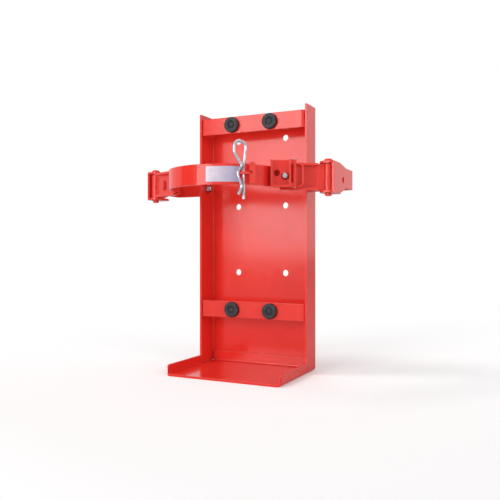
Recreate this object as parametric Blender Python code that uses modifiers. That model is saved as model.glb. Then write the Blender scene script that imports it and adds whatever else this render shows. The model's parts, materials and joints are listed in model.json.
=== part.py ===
"""Heavy-duty fire extinguisher bracket with a standing foot and a two-jaw clamp.

Units are metres, +Z is up, +X is right seen from the front and the viewer stands
at -Y. The origin is on the back face of the back plate, midway between the two
middle wall holes.
"""

import math

import bmesh
import bpy
from mathutils import Matrix, Vector

# General
SHEET = 0.003
GAP = 0.0003
BEND = 0.0035
MM = 0.001
LAP = 0.0002
# Outlines are filled at this many times their size, where rounding is small.
FILL_SCALE = 100

# Back channel
CHANNEL_WIDTH = 0.1756
CHANNEL_DEPTH = 0.039
CHANNEL_TOP = 0.1409
FOOT_BOTTOM = -0.2434
HOLE_RADIUS = 0.00475
HOLE_X = 0.0395
HOLE_PITCH = 0.1016

# Foot
FOOT_REACH = 0.1337
FOOT_LIP = 0.015
FOOT_REAR_LIP = 0.018
FOOT_CORNER = 0.009
FOOT_LIP_CORNER = 0.002

# Cross straps and pads
STRAP_HEIGHT = 0.0245
STRAP_PROUD = 0.001
STRAP_LEG = 0.024
UPPER_STRAP_Z = 0.12025
LOWER_STRAP_Z = -0.156
PAD_RADIUS = 0.0115
PAD_THICK = 0.005
PAD_X = 0.031
PAD_RIM = 0.0015
RIVET_RADIUS = 0.0022
RIVET_HEAD = 0.0042
RIVET_HEAD_THICK = 0.0012
RIVET_TAIL = 0.0036

# Clamp ring, measured about its own centre
RING_Y = -0.115
RING_INNER = 0.076
BAND_LOW = 0.0145
BAND_HEIGHT = 0.026
SEAM_DEG = 47.0
EAR_LENGTH = 0.0205
EAR_BEND = 0.004
EAR_ROOM_DEG = 5.0
TAB_BEND = 0.006
TAB_LENGTH = 0.0225
BAND_HOLE_DEG = 60.0
BAND_HOLE_RADIUS = 0.0016

# Clamp arms and their hinge pins
PIN_X = 0.136
PIN_Y = -0.087
PIN_RADIUS = 0.003
PIN_CLEAR = 0.0004
PIN_HEAD = 0.0058
PIN_HEAD_THICK = 0.003
PIN_TAIL = 0.0046
PIN_TAIL_LENGTH = 0.0035
KNUCKLE_RADIUS = 0.0065
ARM_LOW = 0.011
ARM_HEIGHT = 0.035
ARM_DEG = 25.2
ARM_FLANGE = 0.0095
ARM_FLANGE_START = 0.014
ARM_LENGTH = 0.064
ARM_BEND = 0.002
WINDOW_START = 0.024
WINDOW_WIDTH = 0.009
WINDOW_HEIGHT = 0.014

# Wings that carry the hinge pins
WING_BACK = 0.010
WING_X = 0.143
WING_FRONT = 0.094
CLEVIS_REACH = 0.0215
NOSE_PAST_PIN = 0.0105
CLEVIS_BACK = 0.062
CLEVIS_CORNER = 0.008
ROOT_LOW = 0.018
ROOT_HIGH = 0.0446
TAPER_FRONT = 0.070
TAPER_BACK = 0.040
WING_HOLE_Y = 0.055
WING_HOLE_RADIUS = 0.0045
TAB_DEPTH = 0.036
WING_BOLT_Y = 0.023
WING_BOLT_Z = 0.028
WING_BOLT_RADIUS = 0.004
BOLT_CLEAR = 0.0003
BOLT_CHAMFER = 0.0012
BOLT_TAIL = 0.002
WING_BOLT_HEAD = 0.0068
WING_BOLT_HEAD_THICK = 0.0045
WING_BOLT_END = 0.009
NUT_FLATS = 0.0068
NUT_THICK = 0.0062

# Lock between the jaws
TONGUE_OFF = 0.005
TONGUE_WIDTH = 0.010
TONGUE_REACH = 0.014
EYE_REACH = 0.0085
EYE_RADIUS = 0.0025
TONGUE_CORNER = 0.003
SLOT_CLEAR = 0.0006
WIRE_RADIUS = 0.002
CLIP_LEG_DROP = 0.027
CLIP_NECK = 0.021
CLIP_BOW_RADIUS = 0.0062
CLIP_BOW_RISE = 0.012
CLIP_WAVE = 0.0032

# Label plate
LABEL_START_DEG = 9.0
LABEL_END_DEG = 39.0
LABEL_HEIGHT = 0.0195
LABEL_THICK = 0.0012

# Latch housing and lever on the right arm
HOUSING_START = 0.0505
HOUSING_END = 0.0765
HOUSING_BACK = 0.0205
HOUSING_DEPTH = 0.011
HOUSING_LOW = 0.0130
HOUSING_HIGH = 0.0480
PRESSED = 0.0022
HOUSING_HOLE = 0.0042
HOUSING_HOLE_SIDE = 0.0105
HOUSING_HOLE_UP = 0.004
LATCH_BOLT_SIDE = 0.058
LATCH_BOLT_RADIUS = 0.003
LATCH_BOLT_HEAD = 0.0048
LATCH_BOLT_HEAD_THICK = 0.0035
LATCH_NUT_FLATS = 0.0052
LATCH_NUT_THICK = 0.0045
SPACER_RADIUS = 0.005
LEVER_PIN_SIDE = 0.0460
LEVER_PIN_OUT = 0.0235
LEVER_PIN_RADIUS = 0.0016
LEVER_EYE = 0.0032
LEVER_END = 0.0335
LEVER_LOW = 0.0135
LEVER_HIGH = 0.0445
LEVER_RIM = 0.0045
LEVER_CORNER = 0.007
LEVER_BACK = 0.0142
LUG_HEIGHT = 0.0055
LEVER_PIN_HEAD = 0.0012

ROUND_STEPS = 24
SMALL_STEPS = 16
ARC_STEP_DEG = 3.75

# Values that follow from the ones above
HALF = CHANNEL_WIDTH / 2
CHANNEL_BOTTOM = FOOT_BOTTOM + SHEET + GAP
INNER_HALF = HALF - SHEET
BAND_MID = RING_INNER + SHEET / 2
BAND_OUTER = RING_INNER + SHEET
TONGUE_RADIUS = BAND_OUTER + TONGUE_OFF + TONGUE_WIDTH / 2
BAND_TOP = BAND_LOW + BAND_HEIGHT
BAND_Z = BAND_LOW + BAND_HEIGHT / 2
ARM_TOP = ARM_LOW + ARM_HEIGHT
TAB_OFFSET = SHEET + GAP
STRAP_FRONT = CHANNEL_DEPTH + STRAP_PROUD
CLEVIS_NOSE = NOSE_PAST_PIN - PIN_Y
CLEVIS_LOW = ARM_LOW - GAP - SHEET
CLEVIS_HIGH = ARM_TOP + GAP + SHEET

PARTS = "fire_extinguisher_bracket"
CUTTERS = "cutters"


def clear_scene():
    for obj in list(bpy.data.objects):
        bpy.data.objects.remove(obj, do_unlink=True)
    for name in (PARTS, CUTTERS):
        old = bpy.data.collections.get(name)
        if old:
            bpy.data.collections.remove(old)
        bpy.context.scene.collection.children.link(bpy.data.collections.new(name))


def finish(name, colour, roughness, metallic):
    mat = bpy.data.materials.new(name)
    mat.use_nodes = True
    shader = mat.node_tree.nodes["Principled BSDF"]
    shader.inputs["Base Color"].default_value = (*colour, 1.0)
    shader.inputs["Roughness"].default_value = roughness
    shader.inputs["Metallic"].default_value = metallic
    mat.diffuse_color = (*colour, 1.0)
    return mat


def red_paint():
    return finish("red_powder_coat", (0.62, 0.035, 0.025), 0.35, 0.0)


def zinc():
    return finish("zinc_plate", (0.62, 0.62, 0.64), 0.3, 1.0)


def black_rubber():
    return finish("black_rubber", (0.012, 0.012, 0.013), 0.75, 0.0)


def label_silver():
    return finish("label_plate", (0.72, 0.70, 0.72), 0.4, 0.2)


def keep(obj, mat):
    bpy.data.collections[PARTS].objects.link(obj)
    if mat:
        obj.data.materials.append(mat)
    return obj


def as_cutter(obj):
    bpy.data.collections[CUTTERS].objects.link(obj)
    obj.hide_render = True
    obj.display_type = "WIRE"
    return obj


def smooth(obj, angle=40.0):
    obj.data.shade_smooth()
    obj.data.set_sharp_from_angle(angle=math.radians(angle))
    return obj


def boolean(obj, tool, operation="DIFFERENCE"):
    mod = obj.modifiers.new(operation.lower(), "BOOLEAN")
    mod.operation = operation
    mod.solver = "EXACT"
    mod.object = as_cutter(tool)


def arc_points(centre, radius, start, end, steps):
    """Points on a circle, with angles in radians from +X."""
    span = [start + (end - start) * i / steps for i in range(steps + 1)]
    return [Vector((centre[0] + radius * math.cos(a), centre[1] + radius * math.sin(a))) for a in span]


def rounded(points, radii, steps=4, closed=False):
    """A polyline whose corners are arcs of the given radii."""
    pts = [Vector(p) for p in points]
    count = len(pts)
    if not isinstance(radii, (list, tuple)):
        radii = [radii] * count
    out = []
    for i, here in enumerate(pts):
        ends = i in (0, count - 1) and not closed
        if ends or radii[i] <= 0:
            out.append(here)
            continue
        to_last = (pts[i - 1] - here).normalized()
        to_next = (pts[(i + 1) % count] - here).normalized()
        half = to_last.angle(to_next) / 2
        reach = radii[i] / math.tan(half)
        centre = here + (to_last + to_next).normalized() * (radii[i] / math.sin(half))
        first = here + to_last * reach - centre
        turn = -first.angle_signed(here + to_next * reach - centre)
        for k in range(steps + 1):
            out.append(centre + first @ Matrix.Rotation(turn * k / steps, 2).transposed())
    return out


AXES = {
    "Z": Matrix.Identity(4),
    "Y": Matrix(((1, 0, 0, 0), (0, 0, -1, 0), (0, 1, 0, 0), (0, 0, 0, 1))),
    "X": Matrix(((0, 0, 1, 0), (1, 0, 0, 0), (0, 1, 0, 0), (0, 0, 0, 1))),
}


def face_out(mesh, matrix):
    """Moves a mesh by matrix and turns its faces outward."""
    bm = bmesh.new()
    bm.from_mesh(mesh)
    bmesh.ops.transform(bm, matrix=matrix, verts=bm.verts)
    if bm.calc_volume(signed=True) < 0:
        bmesh.ops.reverse_faces(bm, faces=bm.faces)
    bm.to_mesh(mesh)
    bm.free()


def folded_sheet(name, path, low, high, thick=SHEET, axis="Z"):
    """A sheet whose middle line is path, swept from low to high along axis."""
    bm = bmesh.new()
    verts = [bm.verts.new((p[0], p[1], low)) for p in path]
    edges = [bm.edges.new(pair) for pair in zip(verts, verts[1:])]
    swept = bmesh.ops.extrude_edge_only(bm, edges=edges)["geom"]
    top = [g for g in swept if isinstance(g, bmesh.types.BMVert)]
    bmesh.ops.translate(bm, verts=top, vec=(0, 0, high - low))
    bmesh.ops.transform(bm, matrix=AXES[axis], verts=bm.verts)
    mesh = bpy.data.meshes.new(name)
    bm.to_mesh(mesh)
    bm.free()
    obj = bpy.data.objects.new(name, mesh)
    wall = obj.modifiers.new("wall", "SOLIDIFY")
    wall.thickness = thick
    wall.offset = 0.0
    wall.use_even_offset = True
    return smooth(obj)


def flat_plate(name, outline, low, high, axis="Z"):
    """A closed outline extruded from low to high along axis."""
    curve = bpy.data.curves.new(name, "CURVE")
    curve.dimensions = "2D"
    curve.fill_mode = "BOTH"
    curve.extrude = FILL_SCALE * (high - low) / 2
    line = curve.splines.new("POLY")
    line.points.add(len(outline) - 1)
    for point, place in zip(line.points, outline):
        point.co = (FILL_SCALE * place[0], FILL_SCALE * place[1], 0, 1)
    line.use_cyclic_u = True
    carrier = bpy.data.objects.new(name + "_outline", curve)
    bpy.context.scene.collection.objects.link(carrier)
    graph = bpy.context.evaluated_depsgraph_get()
    mesh = bpy.data.meshes.new_from_object(carrier.evaluated_get(graph))
    bpy.data.objects.remove(carrier, do_unlink=True)
    bm = bmesh.new()
    bm.from_mesh(mesh)
    bmesh.ops.scale(bm, verts=bm.verts, vec=[1 / FILL_SCALE] * 3)
    bmesh.ops.remove_doubles(bm, verts=bm.verts, dist=0.00001)
    bmesh.ops.dissolve_limit(bm, angle_limit=0.001, verts=bm.verts, edges=bm.edges)
    bmesh.ops.translate(bm, verts=bm.verts, vec=(0, 0, (high + low) / 2))
    bmesh.ops.recalc_face_normals(bm, faces=bm.faces)
    bm.to_mesh(mesh)
    bm.free()
    face_out(mesh, AXES[axis])
    mesh.name = name
    return bpy.data.objects.new(name, mesh)


def rod(name, radius, low, high, at=(0, 0), axis="Z", steps=ROUND_STEPS):
    """A round or, with few steps, a many-sided bar along axis."""
    bm = bmesh.new()
    place = Matrix.Translation((at[0], at[1], (low + high) / 2))
    bmesh.ops.create_cone(bm, cap_ends=True, segments=steps, radius1=radius, radius2=radius,
                          depth=high - low, matrix=place)
    bmesh.ops.transform(bm, matrix=AXES[axis], verts=bm.verts)
    mesh = bpy.data.meshes.new(name)
    bm.to_mesh(mesh)
    bm.free()
    return smooth(bpy.data.objects.new(name, mesh))


def turned(name, profile, steps=ROUND_STEPS):
    """A turned piece: profile holds (radius, height), from the top down on its outer side."""
    bm = bmesh.new()
    verts = [bm.verts.new((r, 0, z)) for r, z in profile]
    for pair in zip(verts, verts[1:]):
        bm.edges.new(pair)
    if profile[0][0] > 0:
        bm.edges.new((verts[-1], verts[0]))
    mesh = bpy.data.meshes.new(name)
    bm.to_mesh(mesh)
    bm.free()
    obj = bpy.data.objects.new(name, mesh)
    turn = obj.modifiers.new("turn", "SCREW")
    turn.angle = math.tau
    turn.steps = steps
    turn.render_steps = steps
    turn.use_merge_vertices = True
    turn.merge_threshold = 0.00001
    turn.use_smooth_shade = True
    return obj


def back_channel():
    mid = HALF - SHEET / 2
    path = rounded([(-mid, -CHANNEL_DEPTH), (-mid, -SHEET / 2), (mid, -SHEET / 2), (mid, -CHANNEL_DEPTH)],
                   BEND)
    channel = folded_sheet("back_channel", path, CHANNEL_BOTTOM, CHANNEL_TOP)
    for row in (-1, 0, 1):
        for side in (-1, 1):
            hole = rod("wall_hole", HOLE_RADIUS, -SHEET, 2 * SHEET, (side * HOLE_X, row * HOLE_PITCH), "Y")
            boolean(channel, hole)
    for side in (-1, 1):
        reach = sorted((side * (HALF - 2 * SHEET), side * (HALF + SHEET)))
        hole = rod("wing_bolt_hole", WING_BOLT_RADIUS + BOLT_CLEAR, *reach, (-WING_BOLT_Y, WING_BOLT_Z), "X")
        boolean(channel, hole)
    keep(channel, red_paint())


def foot_side_outline():
    """Seen along X: lips in front of the channel, bare plate under it."""
    rear = -(CHANNEL_DEPTH + GAP + MM)
    low = FOOT_BOTTOM - SHEET
    top = FOOT_BOTTOM + FOOT_LIP
    deck = FOOT_BOTTOM + SHEET
    corners = [(-FOOT_REACH, low), (0.0, low), (0.0, deck), (rear, deck), (rear, top), (-FOOT_REACH, top)]
    return rounded(corners, [0, 0, 0, 0, FOOT_LIP_CORNER, FOOT_CORNER], closed=True)


def foot_plate():
    mid = HALF - SHEET / 2
    floor = FOOT_BOTTOM + SHEET / 2
    lip = FOOT_BOTTOM + FOOT_LIP + SHEET
    section = rounded([(-mid, lip), (-mid, floor), (mid, floor), (mid, lip)], BEND)
    foot = folded_sheet("foot_plate", section, SHEET + GAP, FOOT_REACH, axis="Y")
    boolean(foot, flat_plate("foot_side_form", foot_side_outline(), -HALF - SHEET, HALF + SHEET, "X"),
            "INTERSECT")
    top_view = [(-HALF - MM, 0), (-HALF - MM, -FOOT_REACH), (HALF + MM, -FOOT_REACH), (HALF + MM, 0)]
    blank = rounded(top_view, [0, FOOT_CORNER, FOOT_CORNER, 0], closed=True)
    boolean(foot, flat_plate("foot_top_form", blank, FOOT_BOTTOM - MM, lip + MM), "INTERSECT")
    face = -(SHEET + GAP + SHEET / 2)
    rear = rounded([(face, FOOT_BOTTOM + FOOT_REAR_LIP), (face, floor), (-CHANNEL_DEPTH, floor)], BEND)
    fold = folded_sheet("foot_rear_fold", rear, BEND - INNER_HALF, INNER_HALF - BEND, axis="X")
    boolean(foot, fold, "UNION")
    keep(foot, red_paint())


def cross_strap(name, height):
    mid = INNER_HALF - GAP - SHEET / 2
    front = -(STRAP_FRONT - SHEET / 2)
    back = front + STRAP_LEG
    path = rounded([(-mid, back), (-mid, front), (mid, front), (mid, back)], BEND)
    strap = folded_sheet(name, path, height - STRAP_HEIGHT / 2, height + STRAP_HEIGHT / 2)
    for side in (-1, 1):
        hole = rod("rivet_hole", RIVET_RADIUS + BOLT_CLEAR, STRAP_FRONT - 2 * SHEET, STRAP_FRONT + SHEET,
                   (side * PAD_X, height), "Y", SMALL_STEPS)
        boolean(strap, hole)
    keep(strap, red_paint())


def pad_profile():
    """A round buffer with a rolled rim, a dished face and a rivet hole."""
    bore = RIVET_RADIUS + BOLT_CLEAR
    rim = arc_points((PAD_RADIUS - PAD_RIM, PAD_THICK - PAD_RIM), PAD_RIM, math.pi / 2, 0, 3)
    seat = PAD_THICK - RIVET_HEAD_THICK - GAP
    dish = RIVET_HEAD + 2 * GAP
    face = [(bore, 0), (bore, seat), (dish, seat), (dish + RIVET_HEAD_THICK, PAD_THICK)]
    return face + [tuple(p) for p in rim] + [(PAD_RADIUS, 0)]


def rivet_profile():
    """Head, shank through pad and strap, and the closed tail behind."""
    top = PAD_THICK - GAP
    under = top - RIVET_HEAD_THICK + GAP / 2
    behind = -(GAP + SHEET + GAP)
    end = behind - RIVET_HEAD_THICK
    return [(0, top), (RIVET_HEAD * 0.6, top), (RIVET_HEAD, under + GAP), (RIVET_HEAD, under),
            (RIVET_RADIUS, under), (RIVET_RADIUS, behind), (RIVET_TAIL, behind), (RIVET_TAIL, end), (0, end)]


def pads_and_rivets():
    level = {"upper": UPPER_STRAP_Z, "lower": LOWER_STRAP_Z}
    for row, height in level.items():
        for hand, side in (("left", -1), ("right", 1)):
            place = (side * PAD_X, -(STRAP_FRONT + GAP), height)
            for kind, profile, mat in (("pad", pad_profile(), black_rubber()),
                                       ("pad_rivet", rivet_profile(), black_rubber())):
                piece = turned(f"{row}_{hand}_{kind}", profile)
                piece.rotation_euler = (math.pi / 2, 0, 0)
                piece.location = place
                keep(piece, mat)


def wing_taper(top):
    """The wedge that is cut from the wing behind the hinge, above or below."""
    if top:
        edge, root, out = CLEVIS_HIGH, ROOT_HIGH, CLEVIS_HIGH + SHEET
    else:
        edge, root, out = CLEVIS_LOW, ROOT_LOW, CLEVIS_LOW - SHEET
    outline = [(-TAPER_FRONT, edge), (-TAPER_BACK, root), (SHEET, root), (SHEET, out), (-TAPER_FRONT, out)]
    return flat_plate("wing_taper", outline, HALF - SHEET, WING_X + 2 * SHEET, "X")


def mirrored_points(points, side):
    return [(side * p[0], p[1]) for p in points]


def mirror_mesh(obj, side):
    """Turns a right-hand mesh into the left-hand one."""
    if side < 0:
        face_out(obj.data, Matrix.Diagonal((-1, 1, 1, 1)))
    return obj


def wing(hand, side):
    tab = HALF + GAP + SHEET / 2
    web = WING_X + SHEET / 2
    back = -(WING_BACK - SHEET / 2)
    path = rounded([(tab, -TAB_DEPTH), (tab, back), (web, back), (web, -WING_FRONT)], BEND)
    plate = folded_sheet(f"{hand}_wing", mirrored_points(path, side), CLEVIS_LOW, CLEVIS_HIGH)
    for top in (False, True):
        boolean(plate, mirror_mesh(wing_taper(top), side))
    reach = PIN_X - CLEVIS_REACH / 2
    cheek = [(web, -CLEVIS_BACK), (reach, -CLEVIS_BACK), (reach, -CLEVIS_NOSE), (web, -CLEVIS_NOSE)]
    cheek = rounded(cheek, [0, CLEVIS_CORNER, CLEVIS_CORNER, CLEVIS_CORNER / 2], closed=True)
    for low, high in ((CLEVIS_LOW + LAP, CLEVIS_LOW + SHEET), (CLEVIS_HIGH - SHEET, CLEVIS_HIGH - LAP)):
        boolean(plate, mirror_mesh(flat_plate("clevis_cheek", cheek, low, high), side), "UNION")
    pin_hole = rod("pin_hole", PIN_RADIUS + PIN_CLEAR, CLEVIS_LOW - SHEET, CLEVIS_HIGH + SHEET,
                   (side * PIN_X, PIN_Y))
    boolean(plate, pin_hole)
    span = sorted((side * (HALF - SHEET), side * (HALF + 3 * SHEET)))
    boolean(plate, rod("tab_hole", WING_BOLT_RADIUS + BOLT_CLEAR, *span, (-WING_BOLT_Y, WING_BOLT_Z), "X"))
    span = sorted((side * (WING_X - SHEET), side * (WING_X + 2 * SHEET)))
    boolean(plate, rod("web_hole", WING_HOLE_RADIUS, *span, (-WING_HOLE_Y, BAND_Z), "X"))
    keep(plate, red_paint())


def wing_fasteners(hand, side):
    outer = HALF + GAP + SHEET + GAP
    head = outer + WING_BOLT_HEAD_THICK
    end = INNER_HALF - WING_BOLT_END
    profile = [(0, head), (WING_BOLT_HEAD * 0.8, head), (WING_BOLT_HEAD, head - BOLT_CHAMFER), (WING_BOLT_HEAD, outer),
               (WING_BOLT_RADIUS, outer), (WING_BOLT_RADIUS, end + MM), (WING_BOLT_RADIUS - MM, end),
               (0, end)]
    bolt = turned(f"{hand}_wing_bolt", profile)
    bolt.rotation_euler = (0, side * math.pi / 2, 0)
    bolt.location = (0, -WING_BOLT_Y, WING_BOLT_Z)
    keep(bolt, zinc())
    face = INNER_HALF - GAP
    span = sorted((side * face, side * (face - NUT_THICK)))
    nut = rod(f"{hand}_wing_nut", NUT_FLATS, *span, (-WING_BOLT_Y, WING_BOLT_Z), "X", 6)
    nut.data.shade_flat()
    bore = rod("nut_bore", WING_BOLT_RADIUS + BOLT_CLEAR, span[0] - MM, span[1] + MM,
               (-WING_BOLT_Y, WING_BOLT_Z), "X")
    boolean(nut, bore)
    keep(nut, zinc())


def arm_frame(side):
    """From the arm's own frame to the world: along it from the pin, and out to the front."""
    turn = math.radians(ARM_DEG)
    along = Vector((-side * math.cos(turn), -math.sin(turn), 0))
    out = Vector((side * math.sin(turn), -math.cos(turn), 0))
    frame = Matrix.Translation((side * PIN_X, PIN_Y, 0))
    frame.col[0][:3] = along
    frame.col[1][:3] = out
    return frame


def place_on_arm(obj, side):
    """Sets a piece made in the arm's frame into place, with its origin on the hinge pin."""
    frame = arm_frame(side)
    pivot = Matrix.Translation((side * PIN_X, PIN_Y, 0))
    face_out(obj.data, pivot.inverted() @ frame)
    obj.location = pivot.translation
    return obj


def cut_on_arm(obj, tool, side, operation="DIFFERENCE"):
    boolean(obj, place_on_arm(tool, side), operation)


def clamp_arm(hand, side):
    half_web = SHEET / 2
    low = ARM_LOW + half_web
    high = ARM_TOP - half_web
    section = rounded([(ARM_FLANGE, low), (0, low), (0, high), (ARM_FLANGE, high)], ARM_BEND)
    arm = folded_sheet(f"{hand}_arm", section, ARM_FLANGE_START, ARM_LENGTH, axis="X")
    place_on_arm(arm, side)
    neck = half_web - LAP
    meet = math.asin(neck / KNUCKLE_RADIUS)
    eye = arc_points((0, 0), KNUCKLE_RADIUS, meet, math.tau - meet, ROUND_STEPS)
    root = [*eye, (ARM_FLANGE_START + SHEET, -neck), (ARM_FLANGE_START + SHEET, neck)]
    cut_on_arm(arm, flat_plate("arm_knuckle", root, ARM_LOW + LAP / 2, ARM_TOP - LAP / 2), side, "UNION")
    cut_on_arm(arm, rod("knuckle_bore", PIN_RADIUS + PIN_CLEAR, ARM_LOW - SHEET, ARM_TOP + SHEET), side)
    if side > 0:
        hole = rod("latch_bolt_hole", LATCH_BOLT_RADIUS + BOLT_CLEAR, -2 * SHEET, 2 * SHEET,
                   (LATCH_BOLT_SIDE, BAND_Z), "Y", SMALL_STEPS)
        cut_on_arm(arm, hole, side)
    else:
        far = WINDOW_START + WINDOW_WIDTH
        low = BAND_Z - WINDOW_HEIGHT / 2
        high = BAND_Z + WINDOW_HEIGHT / 2
        opening = rounded([(WINDOW_START, low), (far, low), (far, high), (WINDOW_START, high)],
                          SHEET / 2, closed=True)
        cut_on_arm(arm, flat_plate("arm_window", opening, -2 * SHEET, 2 * SHEET, "Y"), side)
    keep(arm, red_paint())


def hinge_pin(hand, side):
    head_low = CLEVIS_HIGH + GAP
    tail_high = CLEVIS_LOW - GAP
    top = head_low + PIN_HEAD_THICK
    end = tail_high - PIN_TAIL_LENGTH
    profile = [(0, top), (PIN_HEAD * 0.75, top), (PIN_HEAD, top - PIN_HEAD_THICK / 2), (PIN_HEAD, head_low),
               (PIN_RADIUS, head_low), (PIN_RADIUS, tail_high), (PIN_TAIL, tail_high),
               (PIN_TAIL, end + MM), (PIN_TAIL * 0.8, end), (0, end)]
    pin = turned(f"{hand}_hinge_pin", profile)
    pin.location = (side * PIN_X, PIN_Y, 0)
    keep(pin, red_paint())


def ring_point(degrees, radius):
    """A point on the clamp ring, its angle measured from the front toward +X."""
    a = math.radians(degrees)
    return Vector((radius * math.sin(a), RING_Y - radius * math.cos(a)))


def seam_point(radius, across):
    """A point by the seam: out from the ring's centre, and across it toward +X."""
    a = math.radians(SEAM_DEG)
    return Vector((radius * math.sin(a) + across * math.cos(a),
                   RING_Y - radius * math.cos(a) + across * math.sin(a)))


def tab_line(side):
    """Where the ring's middle line meets the tab, and the tab's far end."""
    frame = arm_frame(side)
    start = (frame @ Vector((0, TAB_OFFSET, 0))).to_2d() - Vector((0, RING_Y))
    along = frame.col[0].to_2d()
    middle = start.dot(along)
    reach = -middle - math.sqrt(middle ** 2 - start.length_squared + BAND_MID ** 2)
    meet = start + along * reach + Vector((0, RING_Y))
    return meet, meet - along * TAB_LENGTH


def band_path(side):
    """From the ear's tip, round the ring, and out along the arm."""
    across = side * (GAP + SHEET) / 2
    meet, tab_end = tab_line(side)
    meet_deg = math.degrees(math.atan2(meet.x, RING_Y - meet.y))
    start_deg = SEAM_DEG + math.degrees(math.asin(across / BAND_MID))
    first = start_deg + side * EAR_ROOM_DEG
    last = meet_deg - side * EAR_ROOM_DEG
    count = max(2, round(abs(last - first) / ARC_STEP_DEG))
    arc = [ring_point(first + (last - first) * i / count, BAND_MID) for i in range(count + 1)]
    points = [seam_point(BAND_MID + EAR_LENGTH, across), seam_point(BAND_MID, across), *arc, meet, tab_end]
    radii = [0, EAR_BEND, *([0] * len(arc)), TAB_BEND, 0]
    return rounded(points, radii)


def seam_box(name, near, far, inner, outer, low, high):
    """A block by the seam, from near to far across it and from inner to outer along a radius."""
    corners = [seam_point(inner, near), seam_point(outer, near), seam_point(outer, far), seam_point(inner, far)]
    return flat_plate(name, corners, low, high)


def move_origin(obj, x, y):
    """Puts the origin on a vertical axis without moving the piece."""
    obj.data.transform(Matrix.Translation((-x, -y, 0)))
    obj.location = (x, y, 0)
    return obj


def lock_tongue():
    """The flat tongue on the right ear's face, with a rounded tip and an eye for the clip."""
    low = TONGUE_RADIUS - TONGUE_WIDTH / 2
    high = TONGUE_RADIUS + TONGUE_WIDTH / 2
    root = -GAP / 2
    corners = [seam_point(low, root), seam_point(high, root), seam_point(high, -TONGUE_REACH),
               seam_point(low, -TONGUE_REACH)]
    outline = rounded(corners, [0, 0, TONGUE_CORNER, TONGUE_CORNER], closed=True)
    tongue = flat_plate("lock_tongue", outline, BAND_Z - SHEET / 2, BAND_Z + SHEET / 2)
    eye = seam_point(TONGUE_RADIUS, -EYE_REACH)
    boolean(tongue, rod("clip_eye", EYE_RADIUS, BAND_Z - 2 * SHEET, BAND_Z + 2 * SHEET, eye, "Z", SMALL_STEPS))
    keep(move_origin(tongue, PIN_X, PIN_Y), red_paint())


def ear_box(name, inner, low, high):
    """The space that the left ear takes outside a radius."""
    return seam_box(name, SHEET, -3 * SHEET, inner, BAND_OUTER + 2 * EAR_LENGTH, low - MM, high + MM)


def left_band():
    band = folded_sheet("left_band", band_path(-1), BAND_LOW, BAND_TOP)
    boolean(band, ear_box("ear_room", BAND_OUTER, BAND_LOW, BAND_TOP))
    keep(move_origin(band, -PIN_X, PIN_Y), red_paint())


def left_tines():
    """The left ear: a fork of two tines, and the tongue passes between them."""
    room = SHEET / 2 + SLOT_CLEAR
    for name, low, high in (("left_lower_tine", BAND_LOW, BAND_Z - room),
                            ("left_upper_tine", BAND_Z + room, BAND_TOP)):
        tine = folded_sheet(name, band_path(-1), low, high)
        boolean(tine, ear_box(name + "_form", BAND_OUTER + GAP, low, high), "INTERSECT")
        keep(move_origin(tine, -PIN_X, PIN_Y), red_paint())


def right_band():
    band = folded_sheet("right_band", band_path(1), BAND_LOW, BAND_TOP)
    bore = LATCH_BOLT_RADIUS + BOLT_CLEAR
    hole = rod("tab_bolt_hole", bore, -3 * SHEET, SHEET, (LATCH_BOLT_SIDE, BAND_Z), "Y", SMALL_STEPS)
    cut_on_arm(band, hole, 1)
    small = rod("band_hole", BAND_HOLE_RADIUS, RING_INNER - SHEET, BAND_OUTER + SHEET, (0, BAND_Z), "X",
                SMALL_STEPS)
    turn = Matrix.Rotation(math.radians(BAND_HOLE_DEG - 90), 4, "Z")
    small.data.transform(Matrix.Translation((0, RING_Y, 0)) @ turn)
    boolean(band, small)
    keep(move_origin(band, PIN_X, PIN_Y), red_paint())


def label_plate():
    radius = BAND_OUTER + GAP + LABEL_THICK / 2
    count = max(4, round((LABEL_END_DEG - LABEL_START_DEG) / ARC_STEP_DEG))
    step = (LABEL_END_DEG - LABEL_START_DEG) / count
    path = [ring_point(LABEL_START_DEG + step * i, radius) for i in range(count + 1)]
    label = folded_sheet("label_plate", path, BAND_Z - LABEL_HEIGHT / 2, BAND_Z + LABEL_HEIGHT / 2, LABEL_THICK)
    keep(move_origin(label, -PIN_X, PIN_Y), label_silver())


def clip_route():
    """Straight leg, bow and wavy leg, as (across, up) from the eye."""
    outer = TONGUE_REACH + GAP + WIRE_RADIUS - EYE_REACH
    bow_z = CLIP_NECK + CLIP_BOW_RISE
    points = [(0, -CLIP_LEG_DROP), (0, 0), (0, CLIP_NECK)]
    middle = outer / 2 + CLIP_WAVE / 2
    bow = arc_points((middle, bow_z), CLIP_BOW_RADIUS, -0.9, math.pi + 0.9, 18)
    points += [(middle - (p[0] - middle), p[1]) for p in bow]
    steps = 22
    start = CLIP_NECK
    for i in range(steps + 1):
        t = i / steps
        wave = CLIP_WAVE * (0.5 - 0.5 * math.cos(2 * math.pi * 2 * t + math.pi))
        points.append((outer + wave, start - (start + CLIP_LEG_DROP - 0.004) * t))
    return points


def r_clip():
    curve = bpy.data.curves.new("r_clip", "CURVE")
    curve.dimensions = "3D"
    curve.bevel_depth = WIRE_RADIUS
    curve.bevel_resolution = 2
    curve.use_fill_caps = True
    route = clip_route()
    line = curve.splines.new("POLY")
    line.points.add(len(route) - 1)
    for point, (across, up) in zip(line.points, route):
        place = seam_point(TONGUE_RADIUS, -EYE_REACH - across)
        point.co = (place.x, place.y, BAND_Z + up, 1)
    keep(bpy.data.objects.new("r_clip", curve), zinc())


def block(name, low, high):
    """A plain block between two corners of the arm's frame, set in place on the right arm."""
    outline = [(low[0], low[1]), (high[0], low[1]), (high[0], high[1]), (low[0], high[1])]
    return flat_plate(name, outline, low[2], high[2])


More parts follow.
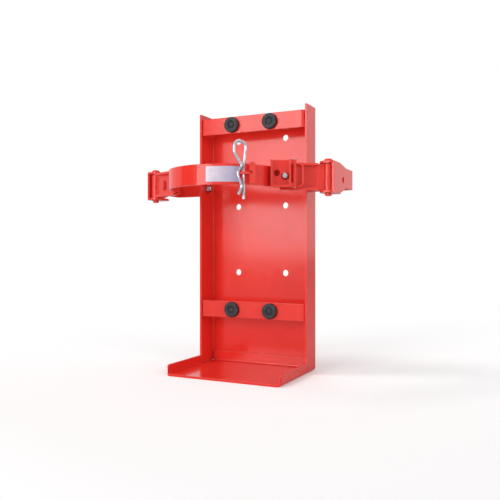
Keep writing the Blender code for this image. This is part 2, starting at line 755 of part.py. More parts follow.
def latch_housing():
    """An open tray in front of the arm, with two lugs for the lever's pin."""
    front = HOUSING_BACK + HOUSING_DEPTH
    lug = arc_points((LEVER_PIN_SIDE, LEVER_PIN_OUT), LEVER_EYE, math.pi / 2, math.pi * 1.5, 8)
    outline = [(HOUSING_START, front), (HOUSING_START, LEVER_PIN_OUT + LEVER_EYE), *lug,
               (HOUSING_START, LEVER_PIN_OUT - LEVER_EYE),
               (HOUSING_START + PRESSED, HOUSING_BACK), (HOUSING_END - PRESSED, HOUSING_BACK),
               (HOUSING_END, HOUSING_BACK + PRESSED), (HOUSING_END, front)]
    housing = flat_plate("latch_housing", outline, HOUSING_LOW, HOUSING_HIGH)
    place_on_arm(housing, 1)
    inner = (HOUSING_START + PRESSED, HOUSING_BACK + PRESSED, HOUSING_LOW + PRESSED)
    outer = (HOUSING_END - PRESSED, front + SHEET, HOUSING_HIGH + SHEET)
    cut_on_arm(housing, block("housing_cavity", inner, outer), 1)
    between = (LEVER_PIN_SIDE - 2 * LEVER_EYE, LEVER_PIN_OUT - 2 * LEVER_EYE, HOUSING_LOW + LUG_HEIGHT)
    beyond = (HOUSING_START - GAP, front + SHEET, HOUSING_HIGH - LUG_HEIGHT)
    cut_on_arm(housing, block("lug_space", between, beyond), 1)
    bore = rod("lug_bore", LEVER_PIN_RADIUS + GAP, HOUSING_LOW - MM, HOUSING_HIGH + MM,
               (LEVER_PIN_SIDE, LEVER_PIN_OUT), "Z", SMALL_STEPS)
    cut_on_arm(housing, bore, 1)
    through = (-(HOUSING_BACK + 2 * PRESSED), -(HOUSING_BACK - PRESSED))
    bolt_hole = rod("housing_bolt_hole", LATCH_BOLT_RADIUS + BOLT_CLEAR, *through, (LATCH_BOLT_SIDE, BAND_Z),
                    "Y", SMALL_STEPS)
    cut_on_arm(housing, bolt_hole, 1)
    oval_at = (LATCH_BOLT_SIDE + HOUSING_HOLE_SIDE, BAND_Z + HOUSING_HOLE_UP)
    cut_on_arm(housing, rod("housing_oval", HOUSING_HOLE, *through, oval_at, "Y", SMALL_STEPS), 1)
    keep(housing, red_paint())


def latch_fasteners():
    """Bolt, spacer and nut that hold the housing off the arm."""
    front = HOUSING_BACK + PRESSED + GAP
    head = front + LATCH_BOLT_HEAD_THICK
    behind = -(SHEET / 2 + GAP)
    end = behind - LATCH_NUT_THICK - BOLT_TAIL
    profile = [(0, head), (LATCH_BOLT_HEAD * 0.6, head), (LATCH_BOLT_HEAD, head - LATCH_BOLT_HEAD_THICK * 0.6),
               (LATCH_BOLT_HEAD, front), (LATCH_BOLT_RADIUS, front), (LATCH_BOLT_RADIUS, end), (0, end)]
    frame = arm_frame(1)
    frame.translation = frame @ Vector((LATCH_BOLT_SIDE, 0, BAND_Z))
    turned_out = frame @ Matrix.Rotation(-math.pi / 2, 4, "X")
    bolt = turned("latch_bolt", profile, SMALL_STEPS)
    bolt.matrix_world = turned_out
    keep(bolt, zinc())
    nut = rod("latch_nut", LATCH_NUT_FLATS, behind - LATCH_NUT_THICK, behind, (0, 0), "Z", 6)
    nut.data.shade_flat()
    spacer = rod("latch_spacer", SPACER_RADIUS, SHEET / 2 + GAP + SHEET + GAP, HOUSING_BACK - GAP)
    for piece in (nut, spacer):
        bore = rod(piece.name + "_bore", LATCH_BOLT_RADIUS + BOLT_CLEAR, -0.03, 0.03, (0, 0), "Z", SMALL_STEPS)
        piece.matrix_world = turned_out
        bore.matrix_world = turned_out
        boolean(piece, bore)
        keep(piece, zinc())


def lever_pivot():
    return (arm_frame(1) @ Vector((LEVER_PIN_SIDE, LEVER_PIN_OUT, 0))).to_2d()


def latch_lever():
    """A pressed tray with a turned-up rim, hinged on the housing's lugs."""
    rim = LEVER_BACK + PRESSED + LEVER_RIM
    near = LEVER_PIN_SIDE - LEVER_EYE
    far = LEVER_PIN_SIDE + LEVER_EYE
    eye = arc_points((LEVER_PIN_SIDE, LEVER_PIN_OUT), LEVER_EYE, 0, math.pi, 8)
    outline = [(LEVER_END, LEVER_BACK), (far, LEVER_BACK), *eye, (near, rim), (LEVER_END, rim)]
    lever = flat_plate("latch_lever", outline, LEVER_LOW, LEVER_HIGH)
    place_on_arm(lever, 1)
    inner = (LEVER_END + PRESSED, LEVER_BACK + PRESSED, LEVER_LOW + PRESSED)
    outer = (near, rim + SHEET, LEVER_HIGH - PRESSED)
    cut_on_arm(lever, block("lever_dish", inner, outer), 1)
    lug_low = HOUSING_LOW + LUG_HEIGHT + GAP
    lug_high = HOUSING_HIGH - LUG_HEIGHT - GAP
    for low, high in ((LEVER_LOW - SHEET, lug_low), (lug_high, LEVER_HIGH + SHEET)):
        inner = (near - 2 * GAP, LEVER_BACK - SHEET, low)
        outer = (far + SHEET, LEVER_PIN_OUT + 2 * LEVER_EYE, high)
        cut_on_arm(lever, block("lug_relief", inner, outer), 1)
    bore = rod("lever_bore", LEVER_PIN_RADIUS + GAP, HOUSING_LOW, HOUSING_HIGH,
               (LEVER_PIN_SIDE, LEVER_PIN_OUT), "Z", SMALL_STEPS)
    cut_on_arm(lever, bore, 1)
    for up, edge in ((1, LEVER_LOW), (-1, LEVER_HIGH)):
        centre = (LEVER_END + LEVER_CORNER, edge + up * LEVER_CORNER)
        curve = arc_points(centre, LEVER_CORNER, math.pi, math.pi + up * math.pi / 2, 5)
        waste = [*curve, (centre[0], edge - up * MM), (LEVER_END - MM, edge - up * MM),
                 (LEVER_END - MM, centre[1])]
        cut_on_arm(lever, flat_plate("lever_corner", waste, -HOUSING_BACK - SHEET, 0, "Y"), 1)
    face_out(lever.data, Matrix.Translation(lever.location - Vector((*lever_pivot(), 0))))
    lever.location = (*lever_pivot(), 0)
    keep(lever, red_paint())


def lever_pin():
    top = HOUSING_HIGH + GAP
    low = HOUSING_LOW - GAP
    head = LEVER_PIN_RADIUS * 1.5
    edge = LEVER_PIN_HEAD / 2
    profile = [(0, top + LEVER_PIN_HEAD), (head, top + edge), (head, top), (LEVER_PIN_RADIUS, top),
               (LEVER_PIN_RADIUS, low), (head, low), (head, low - edge), (0, low - LEVER_PIN_HEAD)]
    pin = turned("lever_pin", profile, SMALL_STEPS)
    pin.location = (*lever_pivot(), 0)
    keep(pin, zinc())


def build():
    clear_scene()
    back_channel()
    foot_plate()
    cross_strap("upper_strap", UPPER_STRAP_Z)
    cross_strap("lower_strap", LOWER_STRAP_Z)
    pads_and_rivets()
    for hand, side in (("left", -1), ("right", 1)):
        wing(hand, side)
        wing_fasteners(hand, side)
        clamp_arm(hand, side)
        hinge_pin(hand, side)
    left_band()
    left_tines()
    right_band()
    lock_tongue()
    label_plate()
    r_clip()
    latch_housing()
    latch_fasteners()
    latch_lever()
    lever_pin()


build()
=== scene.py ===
"""The finish of a red fire extinguisher bracket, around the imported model."""

import json
import math

import bmesh
import bpy
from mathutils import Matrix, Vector


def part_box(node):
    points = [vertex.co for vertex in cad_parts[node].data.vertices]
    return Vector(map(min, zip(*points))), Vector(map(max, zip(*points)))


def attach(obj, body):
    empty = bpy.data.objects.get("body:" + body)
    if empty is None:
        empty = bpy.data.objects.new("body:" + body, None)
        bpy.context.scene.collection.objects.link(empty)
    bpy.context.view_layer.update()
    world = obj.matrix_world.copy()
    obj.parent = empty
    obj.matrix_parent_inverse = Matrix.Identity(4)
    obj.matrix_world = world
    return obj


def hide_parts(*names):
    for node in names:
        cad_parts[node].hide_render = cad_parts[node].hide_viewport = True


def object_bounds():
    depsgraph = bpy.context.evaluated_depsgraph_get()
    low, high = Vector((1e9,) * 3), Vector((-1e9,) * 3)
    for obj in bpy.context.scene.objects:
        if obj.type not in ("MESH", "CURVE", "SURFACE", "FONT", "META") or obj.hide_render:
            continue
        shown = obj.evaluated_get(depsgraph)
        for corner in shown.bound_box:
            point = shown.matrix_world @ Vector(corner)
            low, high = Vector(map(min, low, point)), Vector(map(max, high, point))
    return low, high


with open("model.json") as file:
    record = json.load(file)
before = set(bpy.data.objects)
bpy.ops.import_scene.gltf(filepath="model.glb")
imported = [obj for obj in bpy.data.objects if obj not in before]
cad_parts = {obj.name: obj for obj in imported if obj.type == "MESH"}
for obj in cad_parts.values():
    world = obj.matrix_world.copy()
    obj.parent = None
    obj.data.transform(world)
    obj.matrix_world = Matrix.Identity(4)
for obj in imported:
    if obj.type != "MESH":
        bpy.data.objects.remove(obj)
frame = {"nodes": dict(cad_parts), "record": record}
CAD_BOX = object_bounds()
RECORD = frame["record"]
NODES = frame["nodes"]
SLOT_OF = {part["node"]: part["material_slot"] for part in RECORD["subparts"]}

# Camera, level with the clamp and turned to the object's right
CAMERA_AT = (0.4006, -0.8646, -0.067)
CAMERA_TURN_DEG = 25.99
CAMERA_REACH = 50.0
PHOTO_SIDE = 500
FOCAL_PIXELS = 620.86
SENSOR = 36.0

# Light: a large soft box at the left front, and weaker ones at the right and above that
# reflections leave out. Each has its place, side, power and whether reflections show it.
SOFT_BOXES = {
    "key": (Vector((-0.42, -1.50, 0.28)), 0.76, 10.0, True),
    "fill": (Vector((1.25, -0.62, 0.30)), 0.9, 5.6, False),
    "top": (Vector((-0.80, -0.42, 1.35)), 0.42, 6.6, False),
}
ROOM_LIGHT = 0.49
CARD_AT = Vector((-1.75, -1.55, 0.30))
CARD_SIZE = (1.5, 1.3)
CARD_GREY = 0.04

# Floor: how much of the light it sends on, how pale the camera sees it, and where white ends
FLOOR_ALBEDO = 0.8
FLOOR_SEEN = 1.0
FLOOR_WHITE = 1.03
FLOOR_SIDE = 28.0
FLOOR_GAP = 0.0002

# Mix node: the sockets of its two colours and of their mixture
MIX_FIRST = 6
MIX_SECOND = 7
MIX_RESULT = 2

# Spans of a mask: all of it, and the part of a noise that its values reach
FULL = (0.0, 1.0)
NOISE_SPAN = (0.3, 0.7)

# Edges: their radius, the samples that find them, and the cosines between which they brighten with
# worn paint and a painted highlight
EDGE_RADIUS = 0.0009
EDGE_SAMPLES = 4
EDGE_SPAN = (0.99, 0.80)
SHARP_DEG = 35

# Red powder coat: cloudy tone, broken bright edges of worn paint and painted highlight, scuffs,
# smears and orange peel
PAINT_DEEP = (0.75, 0.031, 0.021)
PAINT_BRIGHT = (0.81, 0.038, 0.026)
# Pinkish bright red for the scuffs, and for the edges as worn paint and a painted highlight
PAINT_WEAR_AND_HIGHLIGHT = (0.92, 0.21, 0.16)
PAINT_ROUGH = (0.12, 0.20)
PAINT_SPECULAR = 0.36
CLOUD = {"scale": 14.0, "detail": 3.0}
CLOUD_SPAN = (0.35, 0.65)
PATCH = {"scale": 55.0, "detail": 4.0}
PATCH_SPAN = (0.42, 0.66)
PATCH_SHARE = (0.45, 1.0)
SCUFF = {"scale": 38.0, "detail": 8.0, "stretch": (3.0, 3.0, 0.6), "rough": 0.7}
SCUFF_SPAN = (0.74, 0.80)
SCUFF_SHARE = (0.0, 0.35)
SMEAR = {"scale": 90.0, "detail": 5.0}
PEEL = {"scale": 620.0, "detail": 2.0}
PEEL_BUMP = {"distance": 0.00010, "strength": 0.22}

# Zinc plate: spangle with dull spots, and a drawn grain
ZINC_LIGHT = (0.60, 0.60, 0.65)
ZINC_DULL = (0.30, 0.30, 0.35)
ZINC_ROUGH = (0.10, 0.20)
SPANGLE = {"scale": 160.0, "detail": 3.0}
SPANGLE_SPAN = (0.45, 0.75)
DRAWN = {"scale": 700.0, "detail": 2.0, "stretch": (1.0, 1.0, 0.1)}
DRAWN_BUMP = {"distance": 0.00003, "strength": 0.3}

# Rubber: pale dust, and a moulded grain
RUBBER_DARK = (0.019, 0.019, 0.023)
RUBBER_WORN = (0.052, 0.052, 0.058)
RUBBER_ROUGH = (0.5, 0.72)
DUST = {"scale": 120.0, "detail": 6.0, "rough": 0.7}
DUST_SPAN = (0.52, 0.72)
SHEEN = {"scale": 300.0, "detail": 3.0}
MOULD = {"scale": 1100.0, "detail": 2.0}
MOULD_BUMP = {"distance": 0.00012, "strength": 0.6}

# Label plate: brushed along its length, with handling marks, and a painted reflection that turns it
# bluish towards its right end
LABEL_PALE = (0.66, 0.56, 0.62)
LABEL_GREY = (0.36, 0.32, 0.42)
LABEL_REFLECTION_BLUE = (0.40, 0.38, 0.60)
LABEL_REFLECTION_SPAN = (0.022, 0.050)
LABEL_REFLECTION_SHARE = (0.0, 0.75)
LABEL_METAL = 0.15
LABEL_ROUGH = (0.30, 0.46)
BRUSH = {"scale": 140.0, "detail": 6.0, "stretch": (0.5, 0.5, 16.0), "rough": 0.6}
BRUSH_SHARE = (0.0, 0.45)
BRUSH_BUMP = {"distance": 0.00005, "strength": 0.5}
MARKS = {"scale": 70.0, "detail": 5.0}
MARKS_SPAN = (0.45, 0.7)
MARKS_SHARE = (0.0, 0.8)

# Bent wires
WIRE_ROUND = 4

# Spring clip, about the eye of the tongue: how far across from it, up and out each point is
SEAM_DEG = 47.0
RING_CENTRE = Vector((0.0, -0.115))
EYE_AT = (0.089, -0.0085)
EYE_Z = 0.0275
CLIP_RADIUS = 0.0019
CLIP_STEPS = 6
CLIP_LEG = [
    (0.0002, -0.0320, 0.0), (0.0, -0.0120, 0.0), (0.0, -0.0040, 0.0), (0.0, 0.0040, 0.0),
    (0.0, 0.0085, 0.0), (-0.0006, 0.0150, 0.0), (-0.0018, 0.0250, 0.0),
]
CLIP_BOW = [
    (-0.0024, 0.0315, 0.0), (-0.0012, 0.0360, 0.0), (0.0020, 0.0384, 0.0003),
    (0.0062, 0.0392, 0.0006), (0.0100, 0.0380, 0.0008), (0.0124, 0.0346, 0.0010),
    (0.0130, 0.0300, 0.0011), (0.0124, 0.0250, 0.0014),
]
CLIP_GRIP = [
    (0.0088, 0.0180, 0.0022), (0.0052, 0.0120, 0.0029), (0.0040, 0.0085, 0.0030),
    (0.0056, 0.0050, 0.0028), (0.0083, 0.0, 0.0020), (0.0074, -0.0060, 0.0026),
    (0.0050, -0.0120, 0.0030), (0.0040, -0.0165, 0.0031), (0.0058, -0.0220, 0.0031),
    (0.0084, -0.0272, 0.0031),
]

# Rolled edge of the latch lever, about the hinge pin of the right arm
ARM_PIN = Vector((0.136, -0.087))
ARM_DEG = 25.2
RIM_SPAN = (0.0346, 0.0420)
RIM_HEIGHTS = (0.0147, 0.0433)
RIM_OUT = 0.0211
RIM_RADIUS = 0.0014
RIM_CORNER = 0.0058
RIM_STEP_DEG = 15

# Weld beads: the form of a bead, and where the runs lie on the straps and at the foot
BEAD_RADIUS = 0.0016
BEAD_RIPPLE = 0.0022
BEAD_WAVE = 0.16
BEAD_SIDES = 10
BEAD_RINGS = 8
RINGS_PER_RIPPLE = 5
BEAD_TIP = 0.02
BEAD_BLUNTNESS = 8
STRAP_BEAD = 0.005
STRAP_BEAD_INSET = 0.003
FOOT_BEAD = 0.010
FOOT_BEAD_X = (-0.058, -0.013, 0.030, 0.066)
FOOT_BEAD_Y = -0.0032


class Nodes:
    """A short way to lay out a node tree."""

    def __init__(self, tree):
        self.tree = tree

    def add(self, kind, **settings):
        """A new node with its settings."""
        node = self.tree.nodes.new(kind)
        for key, value in settings.items():
            setattr(node, key, value)
        return node

    def feed(self, socket, value):
        """Link a socket to another node's output, or give it a fixed value."""
        if isinstance(value, bpy.types.NodeSocket):
            self.tree.links.new(value, socket)
        else:
            socket.default_value = value

    def calc(self, operation, *values, **settings):
        """One step of arithmetic on numbers or on other nodes' outputs."""
        node = self.add("ShaderNodeMath", operation=operation, **settings)
        for socket, value in zip(node.inputs, values):
            self.feed(socket, value)
        return node.outputs["Value"]

    def vector_calc(self, operation, *values, result="Value"):
        """The same on vectors; the result is a number or, by name, the Vector."""
        node = self.add("ShaderNodeVectorMath", operation=operation)
        for socket, value in zip(node.inputs, values):
            self.feed(socket, value)
        return node.outputs[result]

    def remap(self, value, source, target=FULL):
        """Stretch a value from one span to another, and hold it at the ends."""
        node = self.add("ShaderNodeMapRange")
        self.feed(node.inputs["Value"], value)
        for name, (low, high) in (("From", source), ("To", target)):
            self.feed(node.inputs[f"{name} Min"], low)
            self.feed(node.inputs[f"{name} Max"], high)
        return node.outputs["Result"]


class Finish(Nodes):
    """A material of the bracket, laid out on the piece's own coordinates."""

    def __init__(self, name):
        self.mat = bpy.data.materials.new(name)
        self.mat.use_nodes = True
        super().__init__(self.mat.node_tree)
        self.shader = self.tree.nodes["Principled BSDF"]
        self.coords = self.add("ShaderNodeTexCoord").outputs["Object"]

    def look(self, name, value):
        """Set one input of the shader."""
        self.feed(self.shader.inputs[name], value)

    def noise(self, scale, detail, stretch=None, rough=0.55):
        """A noise over the piece, drawn out along the axis whose stretch is the least."""
        place = self.coords
        if stretch:
            mapping = self.add("ShaderNodeMapping")
            self.feed(mapping.inputs["Vector"], place)
            self.feed(mapping.inputs["Scale"], stretch)
            place = mapping.outputs["Vector"]
        node = self.add("ShaderNodeTexNoise")
        self.feed(node.inputs["Vector"], place)
        self.feed(node.inputs["Scale"], scale)
        self.feed(node.inputs["Detail"], detail)
        self.feed(node.inputs["Roughness"], rough)
        return node.outputs["Fac"]

    def mix(self, factor, first, second):
        """From the first colour to the second, by a mask."""
        node = self.add("ShaderNodeMix", data_type="RGBA")
        self.feed(node.inputs["Factor"], factor)
        for socket, colour in ((MIX_FIRST, first), (MIX_SECOND, second)):
            if isinstance(colour, tuple):
                colour = (*colour, 1.0)
            self.feed(node.inputs[socket], colour)
        return node.outputs[MIX_RESULT]

    def rounded(self, radius):
        """Normals that turn gently at the edges."""
        bevel = self.add("ShaderNodeBevel", samples=EDGE_SAMPLES)
        self.feed(bevel.inputs["Radius"], radius)
        return bevel.outputs["Normal"]

    def on_edges(self, normal):
        """A mask that is 1 where the rounded normal leaves the true one."""
        true = self.add("ShaderNodeNewGeometry").outputs["Normal"]
        return self.remap(self.vector_calc("DOT_PRODUCT", normal, true), EDGE_SPAN)

    def bump(self, height, normal, distance, strength):
        """Relief on top of the rounded normals."""
        node = self.add("ShaderNodeBump")
        self.feed(node.inputs["Height"], height)
        self.feed(node.inputs["Normal"], normal)
        self.feed(node.inputs["Distance"], distance)
        self.feed(node.inputs["Strength"], strength)
        self.look("Normal", node.outputs["Normal"])


def paint():
    """Glossy red powder coat: orange peel, cloudy tone, broken bright edges of worn paint and
    painted highlight, and small scuffs.
    """
    n = Finish("red_paint")
    normal = n.rounded(EDGE_RADIUS)
    edge_highlight_patch = n.remap(n.noise(**PATCH), PATCH_SPAN, PATCH_SHARE)
    scuff = n.remap(n.noise(**SCUFF), SCUFF_SPAN, SCUFF_SHARE)
    tone = n.mix(n.remap(n.noise(**CLOUD), CLOUD_SPAN), PAINT_DEEP, PAINT_BRIGHT)
    # Painted highlight and wear: the edges, broken up by patches, turn pinkish bright
    tone = n.mix(n.calc("MULTIPLY", n.on_edges(normal), edge_highlight_patch), tone, PAINT_WEAR_AND_HIGHLIGHT)
    n.look("Base Color", n.mix(scuff, tone, PAINT_WEAR_AND_HIGHLIGHT))
    n.look("Roughness", n.remap(n.noise(**SMEAR), NOISE_SPAN, PAINT_ROUGH))
    n.look("Specular IOR Level", PAINT_SPECULAR)
    n.bump(n.noise(**PEEL), normal, **PEEL_BUMP)
    return n.mat


def zinc():
    """Bright zinc plate with a fine drawn grain and dull spots."""
    n = Finish("zinc")
    grain = n.noise(**DRAWN)
    n.look("Base Color", n.mix(n.remap(n.noise(**SPANGLE), SPANGLE_SPAN), ZINC_LIGHT, ZINC_DULL))
    n.look("Metallic", 1.0)
    n.look("Roughness", n.remap(grain, NOISE_SPAN, ZINC_ROUGH))
    n.bump(grain, n.rounded(EDGE_RADIUS / 2), **DRAWN_BUMP)
    return n.mat


def rubber():
    """Matt black rubber with a moulded grain and pale dust."""
    n = Finish("rubber")
    n.look("Base Color", n.mix(n.remap(n.noise(**DUST), DUST_SPAN), RUBBER_DARK, RUBBER_WORN))
    n.look("Roughness", n.remap(n.noise(**SHEEN), NOISE_SPAN, RUBBER_ROUGH))
    n.bump(n.noise(**MOULD), n.rounded(EDGE_RADIUS / 2), **MOULD_BUMP)
    return n.mat


def label():
    """A bare satin plate, brushed along its length, with faint handling marks and a painted bluish
    reflection towards its right end.
    """
    n = Finish("label")
    brush = n.noise(**BRUSH)
    marks = n.remap(n.noise(**MARKS), MARKS_SPAN, MARKS_SHARE)
    tone = n.mix(n.remap(brush, NOISE_SPAN, BRUSH_SHARE), LABEL_PALE, LABEL_GREY)
    tone = n.mix(n.calc("MULTIPLY", marks, brush), tone, LABEL_GREY)
    # Painted reflection: the plate's colour turns bluish along its X axis, towards its right end
    parted = n.add("ShaderNodeSeparateXYZ")
    n.feed(parted.inputs["Vector"], n.coords)
    painted_reflection = n.remap(parted.outputs["X"], LABEL_REFLECTION_SPAN, LABEL_REFLECTION_SHARE)
    n.look("Base Color", n.mix(painted_reflection, tone, LABEL_REFLECTION_BLUE))
    n.look("Metallic", LABEL_METAL)
    n.look("Roughness", n.remap(brush, NOISE_SPAN, LABEL_ROUGH))
    n.bump(brush, n.rounded(EDGE_RADIUS / 2), **BRUSH_BUMP)
    return n.mat


def put(name, data):
    """A new object in the scene, for this data."""
    obj = bpy.data.objects.new(name, data)
    bpy.context.scene.collection.objects.link(obj)
    return obj


def face_origin(obj, place):
    """Move an object to a place from which its -Z side looks at the origin."""
    obj.location = place
    obj.rotation_euler = place.to_track_quat("Z", "Y").to_euler()


def to_mesh(bm, name):
    """The mesh of a finished bmesh, which is freed."""
    mesh = bpy.data.meshes.new(name)
    bm.to_mesh(mesh)
    bm.free()
    return mesh


def flat_square(name, side=1.0):
    """A level square about the origin."""
    bm = bmesh.new()
    bmesh.ops.create_grid(bm, x_segments=1, y_segments=1, size=side / 2)
    return put(name, to_mesh(bm, name))


def camera():
    """The view of the photograph."""
    data = bpy.data.cameras.new("camera")
    data.sensor_width = SENSOR
    data.lens = FOCAL_PIXELS / PHOTO_SIDE * SENSOR
    data.clip_end = CAMERA_REACH
    obj = put("camera", data)
    obj.location = CAMERA_AT
    obj.rotation_euler = (math.pi / 2, 0, math.radians(CAMERA_TURN_DEG))
    bpy.context.scene.camera = obj


def soft_box(name, place, size, power, glossy):
    """A square light that looks at the origin."""
    data = bpy.data.lights.new(name, "AREA")
    data.shape = "SQUARE"
    data.size = size
    data.energy = power
    obj = put(name, data)
    face_origin(obj, place)
    obj.visible_glossy = glossy


def dark_card():
    """A dark card beside the soft box, for the metal to reflect."""
    obj = flat_square("dark_card")
    face_origin(obj, CARD_AT)
    obj.scale = (*CARD_SIZE, 1.0)
    for ray in ("camera", "diffuse", "shadow"):
        setattr(obj, f"visible_{ray}", False)
    mat = bpy.data.materials.new("dark_card")
    mat.use_nodes = True
    shader = mat.node_tree.nodes["Principled BSDF"]
    shader.inputs["Base Color"].default_value = (CARD_GREY, CARD_GREY, CARD_GREY, 1.0)
    obj.data.materials.append(mat)


def room():
    """White to the camera and in reflections, softer as light."""
    world = bpy.data.worlds.new("room")
    bpy.context.scene.world = world
    world.use_nodes = True
    n = Nodes(world.node_tree)
    rays = n.add("ShaderNodeLightPath").outputs
    seen = n.calc("MAXIMUM", rays["Is Camera Ray"], rays["Is Glossy Ray"])
    seen = n.calc("MAXIMUM", seen, rays["Is Transmission Ray"])
    back = n.tree.nodes["Background"]
    n.feed(back.inputs["Color"], (1.0, 1.0, 1.0, 1.0))
    n.feed(back.inputs["Strength"], n.remap(seen, FULL, (ROOM_LIGHT, 1.0)))


def light_on_floor(n, place, power, height):
    """How brightly one soft box lights the floor at each point, as a share of white.

    Light falls off with the square of the distance and with the slope at the box and at the
    floor. Each slope is a length over that distance, so the distance comes in four times.
    """
    here = n.add("ShaderNodeNewGeometry").outputs["Position"]
    away = n.vector_calc("SUBTRACT", here, place, result="Vector")
    ahead = n.calc("MAXIMUM", n.vector_calc("DOT_PRODUCT", away, -place.normalized()), 0.0)
    spread = n.calc("POWER", n.vector_calc("LENGTH", away), 4.0)
    drop = place.z - height
    return n.calc("MULTIPLY", n.calc("DIVIDE", ahead, spread), power * drop / math.pi ** 2)


def floor():
    """White where nothing shades it: it glows by what the lights leave out."""
    obj = flat_square("floor", FLOOR_SIDE)
    obj.location.z = CAD_BOX[0][2] - FLOOR_GAP
    mat = bpy.data.materials.new("floor")
    mat.use_nodes = True
    n = Nodes(mat.node_tree)
    n.tree.nodes.clear()
    seen = n.add("ShaderNodeLightPath").outputs["Is Camera Ray"]
    lit = 0.0
    for place, _, power, _ in SOFT_BOXES.values():
        lit = n.calc("ADD", lit, light_on_floor(n, place, power, obj.location.z))
    unlit = FLOOR_WHITE - FLOOR_SEEN * ROOM_LIGHT
    lift = n.calc("MULTIPLY_ADD", lit, -FLOOR_SEEN, unlit, use_clamp=True)
    diffuse = n.add("ShaderNodeBsdfDiffuse")
    n.feed(diffuse.inputs["Color"], n.remap(seen, FULL, (FLOOR_ALBEDO, FLOOR_SEEN)))
    glow = n.add("ShaderNodeEmission")
    n.feed(glow.inputs["Strength"], n.remap(seen, FULL, (0.0, lift)))
    both = n.add("ShaderNodeAddShader")
    n.feed(both.inputs[0], diffuse.outputs[0])
    n.feed(both.inputs[1], glow.outputs[0])
    n.feed(n.add("ShaderNodeOutputMaterial").inputs["Surface"], both.outputs[0])
    obj.data.materials.append(mat)


def dress_nodes(materials):
    """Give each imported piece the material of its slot, smooth but for its real edges."""
    for name, obj in NODES.items():
        obj.data.materials.clear()
        obj.data.materials.append(materials[SLOT_OF[name]])
        obj.data.shade_smooth()
        obj.data.set_sharp_from_angle(angle=math.radians(SHARP_DEG))


def bead(name, start, end, mat, body="frame"):
    """A weld bead: a low rippled run of metal under the paint."""
    start = Vector(start)
    end = Vector(end)
    length = (end - start).length
    along = (end - start).normalized()
    side = along.orthogonal().normalized()
    other = along.cross(side)
    turns = [math.tau * k / BEAD_SIDES for k in range(BEAD_SIDES)]
    count = max(BEAD_RINGS, int(length / BEAD_RIPPLE * RINGS_PER_RIPPLE))
    bm = bmesh.new()
    rings = []
    for i in range(count + 1):
        t = i / count
        taper = math.sqrt(max(BEAD_TIP, 1 - (2 * t - 1) ** BEAD_BLUNTNESS))
        wave = 1 + BEAD_WAVE * math.sin(math.tau * t * length / BEAD_RIPPLE)
        wide = BEAD_RADIUS * taper * wave
        centre = start + along * (length * t)
        rings.append([bm.verts.new(centre + (side * math.cos(a) + other * math.sin(a)) * wide)
                      for a in turns])
    for low, high in zip(rings, rings[1:]):
        for k in range(BEAD_SIDES):
            after = (k + 1) % BEAD_SIDES
            bm.faces.new((low[k], low[after], high[after], high[k]))
    bm.faces.new(list(reversed(rings[0])))
    bm.faces.new(rings[-1])
    bmesh.ops.recalc_face_normals(bm, faces=bm.faces)
    obj = put(name, to_mesh(bm, name))
    obj.data.shade_smooth()
    obj.data.materials.append(mat)
    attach(obj, body)


def smooth_route(points, count):
    """A Catmull-Rom curve through the points, as a list with count points for each of them."""
    out = []
    for i in range(len(points) - 1):
        before = points[max(i - 1, 0)]
        start = points[i]
        end = points[i + 1]
        after = points[min(i + 2, len(points) - 1)]
        for k in range(count):
            t = k / count
            out.append(tuple(0.5 * (2 * b + (c - a) * t + (2 * a - 5 * b + 4 * c - d) * t * t
                                    + (3 * b - a - 3 * c + d) * t ** 3)
                             for a, b, c, d in zip(before, start, end, after)))
    out.append(points[-1])
    return out


def wire(name, points, radius, mat, body):
    """A round wire through the points, which rides on a body."""
    curve = bpy.data.curves.new(name, "CURVE")
    curve.dimensions = "3D"
    curve.bevel_depth = radius
    curve.bevel_resolution = WIRE_ROUND
    curve.use_fill_caps = True
    line = curve.splines.new("POLY")
    line.points.add(len(points) - 1)
    for point, place in zip(line.points, points):
        point.co = (*place, 1)
    line.use_smooth = True
    curve.materials.append(mat)
    obj = put(name, curve)
    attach(obj, body)
    return obj


def directions(degrees):
    """The level directions along and out of a face that is turned by an angle."""
    turn = math.radians(degrees)
    return Vector((math.cos(turn), math.sin(turn))), Vector((math.sin(turn), -math.cos(turn)))


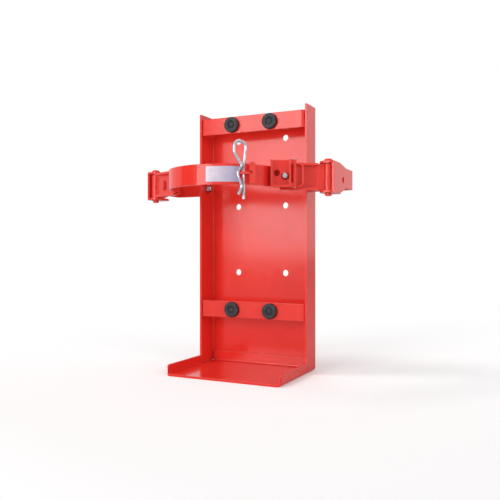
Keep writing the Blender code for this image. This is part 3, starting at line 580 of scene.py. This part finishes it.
def spring_clip(mat):
    """The bent wire: a straight leg in the eye, a wide bow and a leg that grips outside."""
    side, out = directions(SEAM_DEG)
    points = []
    for across, up, forward in smooth_route(CLIP_LEG + CLIP_BOW + CLIP_GRIP, CLIP_STEPS):
        place = RING_CENTRE + out * (EYE_AT[0] + forward) + side * (EYE_AT[1] - across)
        points.append((place.x, place.y, EYE_Z + up))
    obj = wire("spring_clip", points, CLIP_RADIUS, mat, "clip")
    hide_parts("r_clip")


def lever_rim(mat):
    """The rolled edge of the latch lever, round three sides of its tray."""
    side, out = directions(ARM_DEG)
    low, high = RIM_HEIGHTS
    end, near = RIM_SPAN
    corner = [(end + RIM_CORNER * (1 - math.cos(a)), RIM_CORNER * (1 - math.sin(a)))
              for a in map(math.radians, range(90, -1, -RIM_STEP_DEG))]
    lower = [(x, low + z) for x, z in corner]
    upper = [(x, high - z) for x, z in reversed(corner)]
    points = []
    for reach, z in [(near, low), *lower, *upper, (near, high)]:
        place = ARM_PIN - side * reach + out * RIM_OUT
        points.append((place.x, place.y, z))
    wire("lever_rim", points, RIM_RADIUS, mat, "lever")


def weld_beads(mat):
    """Short runs where the straps and the foot are welded to the channel."""
    for strap in ("upper_strap", "lower_strap"):
        low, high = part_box(strap)
        heights = {"low": low[2] + STRAP_BEAD_INSET, "high": high[2] - STRAP_BEAD_INSET - STRAP_BEAD}
        for hand, x in (("left", low[0] + BEAD_RADIUS / 2), ("right", high[0] - BEAD_RADIUS / 2)):
            for where, z in heights.items():
                name = f"{strap}_bead_{hand}_{where}"
                bead(name, (x, high[1], z), (x, high[1], z + STRAP_BEAD), mat)
    low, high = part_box("foot_plate")
    for number, x in enumerate(FOOT_BEAD_X):
        ends = [(x + half, FOOT_BEAD_Y, high[2]) for half in (-FOOT_BEAD / 2, FOOT_BEAD / 2)]
        bead(f"foot_bead_{number}", *ends, mat)


def main():
    camera()
    for name, (place, size, power, glossy) in SOFT_BOXES.items():
        soft_box(name, place, size, power, glossy)
    dark_card()
    room()
    materials = {"red_paint": paint(), "zinc": zinc(), "rubber": rubber(), "label": label()}
    dress_nodes(materials)
    weld_beads(materials["red_paint"])
    spring_clip(materials["zinc"])
    lever_rim(materials["red_paint"])
    floor()
    bpy.context.scene.view_settings.view_transform = "Standard"


main()
